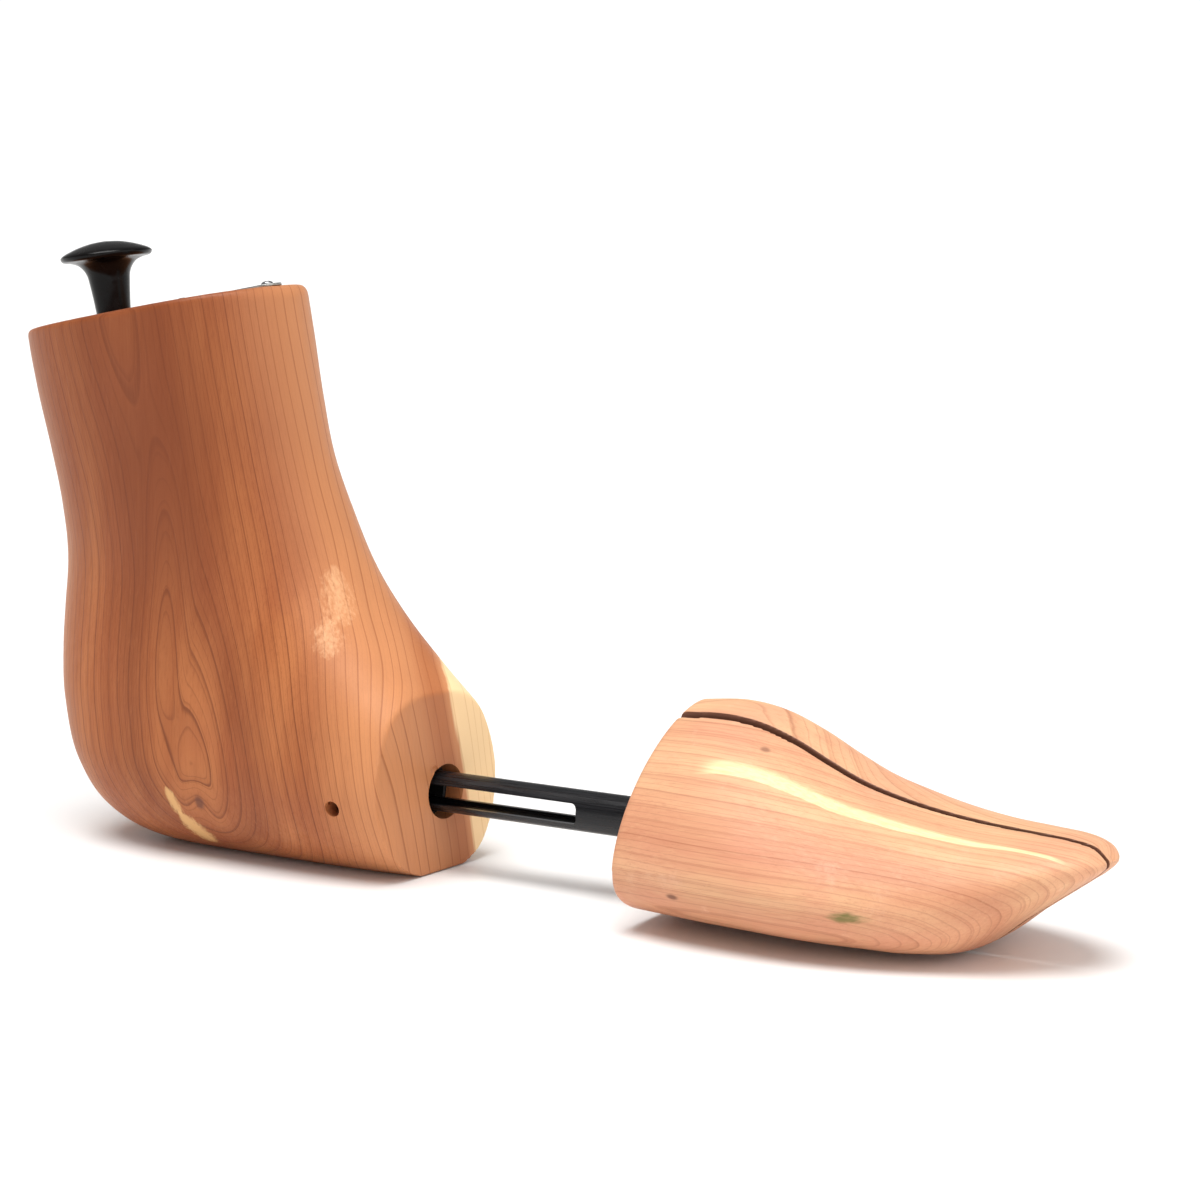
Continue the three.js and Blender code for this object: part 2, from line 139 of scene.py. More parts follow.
# The toe's sections along X: the sides, the underside, the top and how far the crest lies to the medial side.
TOE_COLUMNS = ("x", "lateral", "medial", "bottom", "top", "crest")
TOE_SECTIONS = (
    (84, -38.5, 37, 1.2, 61, 12),
    (100, -41.5, 38.5, 0.6, 62, 14),
    (112, -43, 39.5, 0.3, 60.3, 14),
    (124, -43.5, 40, 0.3, 56, 13),
    (135, -43.5, 40, 0.3, 50.6, 12),
    (146, -42.5, 39.5, 0.3, 45.8, 11),
    (159, -40, 38.5, 0.3, 42.2, 10),
    (172, -36, 36.5, 0.3, 39.7, 8),
    (186, -30, 33.5, 2.7, 38, 6),
    (200, -24, 28.5, 13, 37, 5),
    (211, -16.5, 22.5, 20.9, 36.2, 4.5),
    (218, -10.5, 15, 25.9, 34.8, 4),
    (222, -6, 10.5, 28.4, 32.5, 4),
)
# The knob's outline as (radius, height above its foot).
KNOB_OUTLINE = (
    (5.5, 0), (5.85, 4.5), (6.2, 8), (6.55, 11), (6.95, 13.6), (7.9, 15.7), (9.5, 17.4), (11.7, 18.3),
    (14.1, 18.8), (14.85, 19.9), (14.4, 20.7), (12.8, 21.6), (9.4, 22.9), (5, 24), (0, 24.5),
)

# The drawing frame's origin in the row frame, from the tube's ends and axis.
tube_low, tube_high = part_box("slide_tube")
ORIGIN = Vector((
    tube_low.x - TUBE_REAR * MM,
    (tube_low.y + tube_high.y) / 2,
    (tube_low.z + tube_high.z) / 2 - TUBE_HEIGHT * MM,
))


# ---- curves and fields ----
def curves(columns, rows):
    """{column: function of the first column's value}, each a smooth curve through the rows."""
    table = np.array(rows, float)
    at = table[:, 0]

    def curve(values):
        secant = np.diff(values) / np.diff(at)
        slope = np.concatenate([secant[:1], (secant[:-1] + secant[1:]) / 2, secant[-1:]])

        def value(where):
            where = np.clip(where, at[0], at[-1])
            i = np.clip(np.searchsorted(at, where, side="right") - 1, 0, len(at) - 2)
            width = at[i + 1] - at[i]
            t = (where - at[i]) / width
            start = (2 * t**3 - 3 * t**2 + 1) * values[i] + (t**3 - 2 * t**2 + t) * width * slope[i]
            end = (3 * t**2 - 2 * t**3) * values[i + 1] + (t**3 - t**2) * width * slope[i + 1]
            return start + end

        return value

    return {name: curve(table[:, i]) for i, name in enumerate(columns) if i}


heel_curve = curves(HEEL_COLUMNS, HEEL_SECTIONS)
toe_curve = curves(TOE_COLUMNS, TOE_SECTIONS)


def smoothstep(value, low, high):
    t = np.clip((value - low) / (high - low), 0, 1)
    return t * t * (3 - 2 * t)


def soft_max(a, b, width):
    """The larger of two distances, with the corner between them rounded over about that width."""
    near = np.maximum(width - np.abs(a - b), 0) / width
    return np.maximum(a, b) + near * near * width / 4


def oval(across, up, power):
    """Distance outside an oval in a section's plane, from (offset, half width) across and up."""
    (offset_a, half_a), (offset_b, half_b) = across, up
    flat = 0.05  # takes the corner off the oval where its power is under 2
    total = (np.abs(offset_a / half_a) ** 2 + flat**2) ** (power / 2) - flat**power
    total = total + np.abs(offset_b / half_b) ** power
    share = np.maximum(total, 1e-9) ** (1 / power)
    reach = np.hypot(offset_a, offset_b)
    return reach - reach / share


def bump(points, centre, size, depth):
    """A smooth hollow or swelling at a place, with its size along each axis."""
    away = ((points - np.array(centre)) / np.array(size)) ** 2
    return depth * np.exp(-away.sum(1))


def plane_distance(points, point, normal):
    return (points - np.array(point)) @ np.array(normal)


HEEL_FULLNESS = 2.4
SOLE_ROUND = 1.5
FACE_ROUND = 1.0


def lateral_fullness(z):
    """The power of the section's lateral side, which gets squarer down to the sole."""
    return HEEL_FULLNESS + smoothstep(100 - z, 0, 60)


def heel_field(points):
    """Distance outside the heel block, without its holes."""
    x, y, z = points.T
    widest = heel_curve["widest"](z)
    length = np.where(x > widest, heel_curve["front"](z) - widest, widest - heel_curve["rear"](z))
    half = np.where(y > 0, heel_curve["medial"](z), heel_curve["lateral"](z))
    fullness = np.where(y > 0, HEEL_FULLNESS, lateral_fullness(z))
    side = oval((x - widest, length), (y, half), fullness)
    top = plane_distance(points, TOP_POINT, TOP_NORMAL)
    face = plane_distance(points, ON_AXIS, FACE_NORMAL)
    # The top's edge is rounded more at its front.
    top_round = 2.2 + 4.0 * smoothstep(x, -75, -52)
    body = soft_max(side, top, top_round)
    body = soft_max(body, -z, SOLE_ROUND)
    body = body + milled_flat(x, y, z)
    body = soft_max(body, face, FACE_ROUND)
    for centre, size, depth in DENTS:
        body = body + bump(points, centre, size, depth)
    return body


# Corners, as (x, z), of the milled flat on the lateral side of the instep, above the front face.
FLAT_CORNERS = ((-5.6, 60.7), (-27.6, 82.3), (-23.4, 49.5), (-4.6, 40.4))
FLAT_DEPTH = 0.9
FLAT_REACH = 8.0


def milled_flat(x, y, z):
    """How far the flat lies under the round surface: nothing at its edges, where it leaves a crease."""
    inside = np.full(len(x), FLAT_REACH * 2)
    for (x0, z0), (x1, z1) in zip(FLAT_CORNERS, FLAT_CORNERS[1:]):
        length = math.hypot(x1 - x0, z1 - z0)
        inside = np.minimum(inside, ((x - x0) * (z0 - z1) + (z - z0) * (x1 - x0)) / -length)
    depth = FLAT_DEPTH * np.tanh(np.maximum(inside, 0) / FLAT_REACH)
    return np.where(y < 0, depth, 0)


# Small dents: centre, size and depth.
DENTS = (
    ((-9.0, -17.0, 62.0), (1.2, 0.8, 2.4), 0.35),
    ((-6.0, -12.5, 62.5), (0.8, 1.2, 1.4), 0.4),
    ((-33.0, -31.0, 60.0), (4.5, 2.0, 0.7), 0.15),
)


def toe_middle(share, bottom, top):
    """The height of the section's widest place, from the rear of the toe (share 0) to its tip (share 1)."""
    return bottom + (top - bottom) * (0.29 + 0.21 * share)


def toe_powers(share):
    """The powers of the section's upper and lower sides: the upper one is fuller towards the tip."""
    return 1.6 + 0.4 * share, 2.6


TIP_ROUND = 5.0
REAR_ROUND = 2.6
SPLIT_ROUND = 0.6


def toe_field(points):
    """Distance outside the whole toe, before it is split."""
    x, y, z = points.T
    share = np.clip((x - TOE_REAR) / (TOE_TIP - TOE_REAR), 0, 1)
    crest, bottom, top = (toe_curve[name](x) for name in ("crest", "bottom", "top"))
    middle = toe_middle(share, bottom, top)
    side = np.where(y > crest, toe_curve["medial"](x) - crest, crest - toe_curve["lateral"](x))
    rise = np.where(z > middle, top - middle, middle - bottom)
    power = np.where(z > middle, *toe_powers(share))
    body = oval((y - crest, side), (z - middle, rise), power)
    body = soft_max(body, x - TOE_TIP, TIP_ROUND)
    return soft_max(body, TOE_REAR - x, REAR_ROUND)


def unit(*vector):
    return np.array(vector) / np.linalg.norm(vector)


def toe_half_field(side):
    """Distance outside one half of the toe. side is -1 for the lateral half and 1 for the medial one."""
    along = unit(TOE_TIP - TOE_REAR, side * (SPLIT_GAP_TIP - SPLIT_GAP_REAR) / 2, 0)
    inward = (side * along[1], -side * along[0], 0)
    start = (TOE_REAR, side * SPLIT_GAP_REAR / 2, 0)
    return lambda points: soft_max(toe_field(points), plane_distance(points, start, inward), SPLIT_ROUND)


# ---- mesh helpers ----
def object_of(name, work):
    """An object from a bmesh, with its faces turned out."""
    bmesh.ops.recalc_face_normals(work, faces=work.faces)
    mesh = bpy.data.meshes.new(name)
    work.to_mesh(mesh)
    work.free()
    made = bpy.data.objects.new(name, mesh)
    bpy.context.scene.collection.objects.link(made)
    return made


def apply_modifiers(target):
    seen = target.evaluated_get(bpy.context.evaluated_depsgraph_get())
    mesh = bpy.data.meshes.new_from_object(seen)
    target.modifiers.clear()
    target.data = mesh
    return target


def discard(*targets):
    for target in targets:
        bpy.data.objects.remove(target)


def cut(target, *cutters):
    """Takes closed cutters away from the target, one after another."""
    for cutter in cutters:
        modifier = target.modifiers.new("cut", "BOOLEAN")
        modifier.operation = "DIFFERENCE"
        modifier.solver = "EXACT"
        modifier.object = cutter
        apply_modifiers(target)
    discard(*cutters)
    return target


def settle(points, field, rounds=7, step=0.05, longest=0.8):
    """Moves points along the field's slope to where it is zero."""
    for _ in range(rounds):
        value = field(points)
        slope = np.empty_like(points)
        for axis in range(3):
            shift = np.zeros(3)
            shift[axis] = step
            slope[:, axis] = (field(points + shift) - field(points - shift)) / (2 * step)
        steepness = np.maximum((slope**2).sum(1), 0.1)
        move = slope * (value / steepness)[:, None]
        length = np.linalg.norm(move, axis=1)
        points = points - move * np.minimum(1, longest / np.maximum(length, 1e-9))[:, None]
    return points


def loft(stations, ring):
    """A closed bmesh through one ring of points for each station."""
    work = bmesh.new()
    rings = [[work.verts.new(point) for point in ring(station)] for station in stations]
    for lower, upper in zip(rings, rings[1:]):
        for i, vertex in enumerate(lower):
            work.faces.new((lower[i - 1], vertex, upper[i], upper[i - 1]))
    work.faces.new(rings[0][::-1])
    work.faces.new(rings[-1])
    return work


def slice_off(work, point, normal):
    """Takes away what lies past a plane, along its normal, and closes the solid there."""
    everything = list(work.verts) + list(work.edges) + list(work.faces)
    done = bmesh.ops.bisect_plane(work, geom=everything, plane_co=point, plane_no=normal, clear_outer=True)
    rim = [item for item in done["geom_cut"] if isinstance(item, bmesh.types.BMEdge)]
    bmesh.ops.edgeloop_fill(work, edges=rim)


def settled(name, work, voxel, field):
    """The bmesh's solid as an even fine mesh that lies where the field is zero."""
    target = object_of(name, work)
    modifier = target.modifiers.new("even", "REMESH")
    modifier.mode = "VOXEL"
    modifier.voxel_size = voxel
    apply_modifiers(target)
    points = np.empty(len(target.data.vertices) * 3)
    target.data.vertices.foreach_get("co", points)
    points = settle(points.reshape(-1, 3), field)
    target.data.vertices.foreach_set("co", points.ravel())
    target.data.update()
    return target


def signed_power(value, power):
    return math.copysign(abs(value) ** power, value)


def oval_ring(centre, halves, powers, count=72):
    """Points (a, b) round an oval, from its half widths to +a, -a, +b, -b and its powers over and under."""
    for i in range(count):
        c, s = math.cos(2 * math.pi * i / count), math.sin(2 * math.pi * i / count)
        power = powers[0] if s > 0 else powers[1]
        a = centre[0] + (halves[0] if c > 0 else halves[1]) * signed_power(c, 2 / power)
        b = centre[1] + (halves[2] if s > 0 else halves[3]) * signed_power(s, 2 / power)
        yield a, b


def heel_ring(z):
    rear, widest, front, lateral, medial = (float(heel_curve[name](z)) for name in HEEL_COLUMNS[1:])
    powers = (HEEL_FULLNESS, float(lateral_fullness(z)))
    ring = oval_ring((widest, 0), (front - widest, widest - rear, medial, lateral), powers)
    return [(a, b, z) for a, b in ring]


def toe_ring(x):
    lateral, medial, bottom, top, crest = (float(toe_curve[name](x)) for name in TOE_COLUMNS[1:])
    share = (x - TOE_REAR) / (TOE_TIP - TOE_REAR)
    middle = toe_middle(share, bottom, top)
    halves = (medial - crest, crest - lateral, top - middle, middle - bottom)
    return [(x, a, b) for a, b in oval_ring((crest, middle), halves, toe_powers(share))]


def lathe(name, outline, sides=96):
    """A solid turned round Z from (radius, height) points, from axis to axis or as a closed ring."""
    work = bmesh.new()
    on_axis = outline[0][0] == 0
    rings = []
    for radius, height in outline:
        if radius == 0:
            rings.append([work.verts.new((0, 0, height))])
            continue
        angles = (2 * math.pi * i / sides for i in range(sides))
        rings.append([work.verts.new((radius * math.cos(a), radius * math.sin(a), height)) for a in angles])
    pairs = list(zip(rings, rings[1:]))
    if not on_axis:
        pairs.append((rings[-1], rings[0]))
    for low, high in pairs:
        for i in range(sides):
            corners = [low[i - 1], low[i]] if len(low) > 1 else [low[0]]
            corners += [high[i], high[i - 1]] if len(high) > 1 else [high[0]]
            work.faces.new(corners)
    return object_of(name, work)


def ring_along_x(name, outer, inner, start, end, chamfer, sides=96):
    outline = [(inner, start + chamfer), (inner + chamfer, start),
               (outer - chamfer, start), (outer, start + chamfer),
               (outer, end - chamfer), (outer - chamfer, end),
               (inner + chamfer, end), (inner, end - chamfer)]
    return placed(lathe(name, outline, sides), along("X", ON_AXIS))


def along(axis, centre):
    """The matrix that lays a piece drawn round Z along another axis, at a place."""
    turns = {"X": Matrix.Rotation(math.pi / 2, 4, "Y"), "Y": Matrix.Rotation(-math.pi / 2, 4, "X")}
    return Matrix.Translation(centre) @ turns.get(axis, Matrix.Identity(4))


def placed(target, matrix):
    target.data.transform(matrix)
    return target


def drill(axis, centre, radius, start, end, sides=64, flare=()):
    """A cutter along an axis. flare adds (radius, place) points at its end, for a worn rim."""
    outline = [(0, start), (radius, start), *(flare or [(radius, end)])]
    outline.append((0, outline[-1][1]))
    return placed(lathe("drill", outline, sides), along(axis, centre))


def coil(name, radius, wire, turns, start, end, closed=1.2, steps_per_turn=28, sides=12):
    """A coil spring round Z, whose end turns lie close together."""
    rise_closed = 2 * wire * 1.02
    open_turns = turns - 2 * closed
    rise_open = (end - start - 2 * wire - 2 * closed * rise_closed) / open_turns
    work = bmesh.new()
    rings = []
    count = int(turns * steps_per_turn)
    height = start + wire
    for i in range(count + 1):
        turn = turns * i / count
        angle = 2 * math.pi * turn
        centre = Vector((radius * math.cos(angle), radius * math.sin(angle), height))
        outward = Vector((math.cos(angle), math.sin(angle), 0))
        spokes = (2 * math.pi * j / sides for j in range(sides))
        around = (outward * math.cos(a) + Vector((0, 0, math.sin(a))) for a in spokes)
        rings.append([work.verts.new(centre + wire * spoke) for spoke in around])
        in_closed = turn < closed or turn >= turns - closed
        height += (rise_closed if in_closed else rise_open) * turns / count
    for low, high in zip(rings, rings[1:]):
        for j in range(sides):
            work.faces.new((low[j - 1], low[j], high[j], high[j - 1]))
    work.faces.new(rings[0])
    work.faces.new(rings[-1])
    return object_of(name, work)


def extruded(name, outline, start, end):
    """A solid from an outline in the XY plane, run along Z."""
    work = bmesh.new()
    lower, upper = ([work.verts.new((x, y, z)) for x, y in outline] for z in (start, end))
    for i in range(len(outline)):
        work.faces.new((lower[i - 1], lower[i], upper[i], upper[i - 1]))
    work.faces.new(lower)
    work.faces.new(upper)
    return object_of(name, work)


def bevelled(target, width, segments=2, angle=40):
    modifier = target.modifiers.new("bevel", "BEVEL")
    modifier.width = width
    modifier.segments = segments
    modifier.limit_method = "ANGLE"
    modifier.angle_limit = math.radians(angle)
    return apply_modifiers(target)


def rounded_slot(start, end, half, corner, steps=6):
    """The outline of a slot with round corners, along X."""
    points = []
    centres = ((end - corner, -half + corner), (end - corner, half - corner),
               (start + corner, half - corner), (start + corner, -half + corner))
    for quarter, (x, y) in enumerate(centres):
        for i in range(steps + 1):
            angle = math.pi / 2 * (quarter - 1 + i / steps)
            points.append((x + corner * math.cos(angle), y + corner * math.sin(angle)))
    return points


def flowing(outline, steps=5):
    """More points on a smooth curve through the outline's points."""
    points = np.array(outline, float)
    ends = np.vstack([2 * points[0] - points[1], points, 2 * points[-1] - points[-2]])
    made = []
    for i in range(1, len(points)):
        before, here, there, after = ends[i - 1 : i + 3]
        for t in np.arange(steps) / steps:
            made.append(
                0.5 * (2 * here + (there - before) * t + (2 * before - 5 * here + 4 * there - after) * t**2
                       + (3 * here - before - 3 * there + after) * t**3)
            )
    made.append(points[-1])
    return [(max(float(r), 0.0), float(h)) for r, h in made]


def piece(target, body, material, node, smooth_angle=35):
    """Moves a finished shape into the row frame, gives it its material and shading, hangs it on its body and
    hides the CAD part it replaces.
    """
    target.data.transform(Matrix.Translation(ORIGIN) @ Matrix.Scale(MM, 4))
    target.data.materials.clear()
    target.data.materials.append(material)
    target.data.shade_smooth()
    target.data.set_sharp_from_angle(angle=math.radians(smooth_angle))
    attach(target, body)
    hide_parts(node)
    return target


# ---- materials ----
def srgb(red, green, blue):
    """A colour for a shader from a screen colour, 0 to 255."""
    values = [c / 255 for c in (red, green, blue)]
    return (*(c / 12.92 if c <= 0.04045 else ((c + 0.055) / 1.055) ** 2.4 for c in values), 1.0)


class Shader:
    """One material's node tree. A method returns a node's output, which another can take as its input."""

    def __init__(self, name, roughness=0.5, metallic=0.0, **constants):
        self.material = bpy.data.materials.new(name)
        self.material.use_nodes = True
        self.tree = self.material.node_tree
        self.surface = self.tree.nodes["Principled BSDF"]
        self.set(Roughness=roughness, Metallic=metallic)
        for key, value in constants.items():
            self.surface.inputs[key.replace("_", " ")].default_value = value

    def feed(self, socket, value):
        if isinstance(value, bpy.types.NodeSocket):
            self.tree.links.new(value, socket)
        else:
            socket.default_value = value

    def set(self, **values):
        for key, value in values.items():
            self.feed(self.surface.inputs[key.replace("_", " ")], value)

    def node(self, kind, inputs, output=0, **settings):
        made = self.tree.nodes.new(kind)
        for key, value in settings.items():
            setattr(made, key, value)
        for key, value in inputs.items():
            self.feed(made.inputs[key], value)
        return made.outputs[output]

    def math(self, operation, *values):
        return self.node("ShaderNodeMath", dict(enumerate(values)), operation=operation)

    def vector(self, operation, inputs, output="Vector"):
        return self.node("ShaderNodeVectorMath", inputs, output, operation=operation)

    def add(self, a, b):
        return self.math("ADD", a, b)

    def times(self, a, b):
        return self.math("MULTIPLY", a, b)

    def distance(self, a, b):
        return self.math("SQRT", self.add(self.math("POWER", a, 2.0), self.math("POWER", b, 2.0)))

    def place(self):
        """The drawing frame's coordinates, in millimetres."""
        at = self.node("ShaderNodeTexCoord", {}, output=3)
        offset = tuple(-c / MM for c in ORIGIN)
        scale = (1 / MM,) * 3
        return self.node("ShaderNodeMapping", {"Vector": at, "Location": offset, "Scale": scale})

    def split(self, vector):
        made = self.tree.nodes.new("ShaderNodeSeparateXYZ")
        self.feed(made.inputs[0], vector)
        return made.outputs

    def noise(self, at, scale, detail=2.0, roughness=0.5):
        inputs = {"Vector": at, "Scale": scale, "Detail": detail, "Roughness": roughness}
        return self.node("ShaderNodeTexNoise", inputs)

    def noise_along(self, value, scale, detail=1.0):
        inputs = {"W": value, "Scale": scale, "Detail": detail}
        return self.node("ShaderNodeTexNoise", inputs, noise_dimensions="1D")

    def swing(self, noise, size):
        """A noise as a shift either way."""
        return self.times(self.math("SUBTRACT", noise, 0.5), size)

    def stretched(self, at, scale):
        return self.vector("MULTIPLY", {0: at, 1: scale})

    def rise(self, value, low, high, to_low=0.0, to_high=1.0):
        inputs = {"Value": value, "From Min": low, "From Max": high, "To Min": to_low, "To Max": to_high}
        return self.node("ShaderNodeMapRange", inputs, interpolation_type="SMOOTHSTEP")

    def mix(self, share, a, b):
        made = self.tree.nodes.new("ShaderNodeMix")
        made.data_type = "RGBA"
        for index, value in ((0, share), (6, a), (7, b)):
            self.feed(made.inputs[index], value)
        return made.outputs[2]

    def tint(self, colour, over, value, low, high, share):
        """The colour with another laid over it, up to a share, as a value rises from low to high."""
        return self.mix(self.rise(value, low, high, 0.0, share), colour, over)

    def spot(self, at, centre, size):
        """1 at a place, and falling to 0 at its size along each axis."""
        away = self.vector("SUBTRACT", {0: at, 1: centre})
        away = self.vector("DIVIDE", {0: away, 1: size})
        length = self.vector("LENGTH", {0: away}, "Value")
        return self.rise(length, 1.0, 0.0)

    def stroke(self, at, start, end, half):
        """1 on a line from start to end, and 0 at half its width beside it. The line tapers to its ends."""
        way = tuple(b - a for a, b in zip(start, end))
        from_start = self.vector("SUBTRACT", {0: at, 1: start})
        along_way = self.vector("DOT_PRODUCT", {0: from_start, 1: way}, "Value")
        share = self.math("DIVIDE", along_way, sum(w * w for w in way))
        share = self.node("ShaderNodeClamp", {"Value": share})
        nearest = self.vector("SCALE", {0: way, "Scale": share})
        away = self.vector("SUBTRACT", {0: from_start, 1: nearest})
        away = self.vector("LENGTH", {0: away}, "Value")
        width = self.times(self.rise(share, -0.1, 0.35), self.rise(share, 1.1, 0.65, 0.0, half))
        return self.math("SUBTRACT", 1.0, self.math("DIVIDE", away, width))

    def bump(self, height, depth, strength=1.0):
        normal = self.node("ShaderNodeBump", {"Height": height, "Distance": depth, "Strength": strength})
        self.feed(self.surface.inputs["Normal"], normal)


def cedar(shader, ring, fibres, spacing, colours, at):
    """Growth rings and fibres. ring is the distance from the pith in millimetres, and fibres are coordinates
    stretched along the grain. Returns the colour, each ring's dark line, the fine fibres and the relief."""
    uneven = shader.swing(shader.noise_along(ring, 0.07, 2.0), 6.0)
    count = shader.math("DIVIDE", shader.add(ring, uneven), spacing)
    within = shader.math("FRACT", count)
    number = shader.math("FLOOR", count)
    broad = shader.noise(fibres, 0.045, 3.0, 0.6)
    late = shader.times(shader.rise(within, 0.45, 0.93), shader.rise(within, 1.0, 0.95))
    line = shader.times(shader.rise(within, 0.84, 0.95), shader.rise(within, 1.0, 0.97))
    between = shader.math("FRACT", shader.add(shader.times(count, 2.7), shader.swing(broad, 1.5)))
    between = shader.times(shader.rise(between, 0.78, 0.95), shader.rise(between, 1.0, 0.96))
    strength = shader.node("ShaderNodeTexWhiteNoise", {"W": number}, noise_dimensions="1D")
    strength = shader.add(shader.times(strength, 0.7), 0.3)
    band = shader.noise_along(ring, 0.05, 2.0)
    cloud = shader.noise(at, 0.03, 3.0)
    fine = shader.noise(fibres, 1.3, 4.0, 0.65)
    hair = shader.noise(fibres, 3.4, 2.0, 0.6)
    colour = shader.mix(shader.rise(broad, 0.35, 0.65), colours["pale"], colours["warm"])
    colour = shader.tint(colour, colours["deep"], band, 0.45, 0.7, 0.65)
    colour = shader.tint(colour, colours["rose"], cloud, 0.4, 0.7, 0.4)
    colour = shader.mix(shader.times(late, 0.22), colour, colours["late"])
    dark = shader.times(shader.times(line, strength), colours["contrast"])
    colour = shader.mix(dark, colour, colours["line"])
    colour = shader.mix(shader.times(between, 0.3), colour, colours["line"])
    colour = shader.tint(colour, colours["late"], fine, 0.5, 0.75, 0.34)
    colour = shader.tint(colour, colours["pale"], fine, 0.5, 0.25, 0.25)
    colour = shader.tint(colour, colours["line"], hair, 0.55, 0.8, 0.28)
    relief = shader.add(shader.times(hair, 0.3), shader.times(line, -0.35))
    relief = shader.add(shader.times(fine, 0.5), relief)
    return colour, line, fine, relief


HEEL_COLOURS = {
    "pale": srgb(182, 112, 67), "warm": srgb(160, 90, 51), "deep": srgb(122, 61, 33),
    "rose": srgb(156, 86, 54), "late": srgb(130, 67, 36), "line": srgb(88, 40, 23), "contrast": 0.62,
}
TOE_COLOURS = {
    "pale": srgb(222, 176, 134), "warm": srgb(210, 152, 116), "deep": srgb(192, 130, 98),
    "rose": srgb(212, 142, 116), "late": srgb(184, 120, 88), "line": srgb(146, 84, 58), "contrast": 0.26,
}
CREAM = srgb(246, 212, 162)
SLIVER = srgb(224, 178, 118)
# Painted sheen, for the highlight on the instep.
PAINTED_SHEEN = srgb(222, 170, 126)
KNOT = srgb(104, 62, 48)
SCUFF = srgb(230, 184, 156)
# Painted shade, for the faces inside the toe's split.
PAINTED_GAP_SHADE = srgb(84, 42, 29)
# From one growth ring to the next, in millimetres.
HEEL_RING_SPACING = 3.1
TOE_RING_SPACING = 4.4


def finish_wood(shader, colour, relief, fine, roughness=0.5):
    shader.set(Base_Color=colour)
    shader.set(Roughness=shader.rise(fine, 0.2, 0.8, roughness - 0.07, roughness + 0.07))
    shader.bump(relief, 0.00012, 0.55)
    return shader.material


def heel_cedar():
    shader = Shader("cedar_block", Specular_IOR_Level=0.2)
    at = shader.place()
    fibres = shader.stretched(at, (1.0, 1.0, 0.035))
    slow = shader.stretched(at, (1.0, 1.0, 0.4))
    x, y, z = shader.split(at)
    # The pith leans backwards going up, outside the lateral side.
    pith_x = shader.add(shader.times(z, -0.20), -66.0)
    from_pith_x = shader.math("SUBTRACT", x, pith_x)
    from_pith_x = shader.add(from_pith_x, shader.swing(shader.noise(slow, 0.018, 2.0), 10.0))
    from_pith_y = shader.add(shader.add(y, 58.0), shader.swing(shader.noise(slow, 0.02, 1.0), 5.0))
    from_pith = shader.distance(from_pith_x, from_pith_y)
    # A long swelling gives the side its narrow spindles, and the rings bend round the knot below them.
    spindle = shader.spot(at, (-84.5, -33.0, 88.0), (13.0, 60.0, 74.0))
    ring = shader.add(from_pith, shader.times(spindle, -6.0))
    knot_place = (-69.5, -35.2, 20.0)
    around_knot = shader.spot(at, knot_place, (8.0, 20.0, 13.0))
    ring = shader.add(ring, shader.times(around_knot, 3.0))
    colour, line, fine, relief = cedar(shader, ring, fibres, HEEL_RING_SPACING, HEEL_COLOURS, at)
    # The darker heartwood in the middle of the side, high up.
    core = shader.spot(at, (-86.0, -31.0, 115.0), (30.0, 40.0, 100.0))
    colour = shader.mix(shader.times(core, 0.62), colour, HEEL_COLOURS["deep"])
    colour = shader.tint(colour, HEEL_COLOURS["deep"], z, 55.0, 135.0, 0.42)
    # The wood is paler away from the pith, partly its own tone and partly painted light for the brighter lit
    # front face, and its outermost rings are sapwood.
    paler_and_painted_light = shader.mix(shader.times(line, 0.6), srgb(212, 148, 102), srgb(158, 94, 58))
    colour = shader.tint(colour, paler_and_painted_light, from_pith, 46.0, 78.0, 0.6)
    brown = shader.times(shader.rise(from_pith, 86.0, 93.0), shader.rise(from_pith, 97.2, 95.0))
    colour = shader.mix(shader.times(brown, 0.6), colour, HEEL_COLOURS["warm"])
    edge = shader.add(from_pith, shader.swing(shader.noise(fibres, 0.3, 2.0), 1.6))
    cream = shader.mix(shader.times(line, 0.35), CREAM, srgb(206, 150, 96))
    colour = shader.tint(colour, cream, edge, 97.4, 98.6, 0.92)
    # A broken streak of sapwood low on the side, beside a small knot.
    ragged = shader.swing(shader.noise(shader.stretched(at, (1.0, 1.0, 0.12)), 0.9, 4.0, 0.7), 1.2)
    for start, end, half in (((-82.5, -36.0, 25.0), (-78.0, -34.0, 11.0), 2.8),
                             ((-80.0, -34.0, 15.5), (-70.5, -25.0, 1.5), 5.0)):
        sliver = shader.add(shader.stroke(at, start, end, half), ragged)
        colour = shader.tint(colour, SLIVER, sliver, 0.0, 0.7, 0.8)
    knot = shader.spot(at, knot_place, (3.4, 6.0, 4.6))
    colour = shader.tint(colour, KNOT, knot, 0.15, 0.9, 0.8)
    # Painted sheen: a pale highlight coloured in where the grain turns on the instep, ragged along the
    # fibres.
    ragged = shader.swing(shader.noise(shader.stretched(at, (1.0, 1.0, 0.08)), 0.9, 3.0, 0.6), 2.6)
    for start, end, half in (((-35.0, -9.0, 96.0), (-26.5, -18.0, 74.0), 6.0),
                             ((-30.0, -20.0, 81.0), (-25.0, -26.0, 67.0), 5.0)):
        painted_sheen_mask = shader.add(shader.stroke(at, start, end, half), ragged)
        colour = shader.tint(colour, PAINTED_SHEEN, painted_sheen_mask, -0.2, 1.4, 0.75)
    return finish_wood(shader, colour, relief, fine, 0.44)


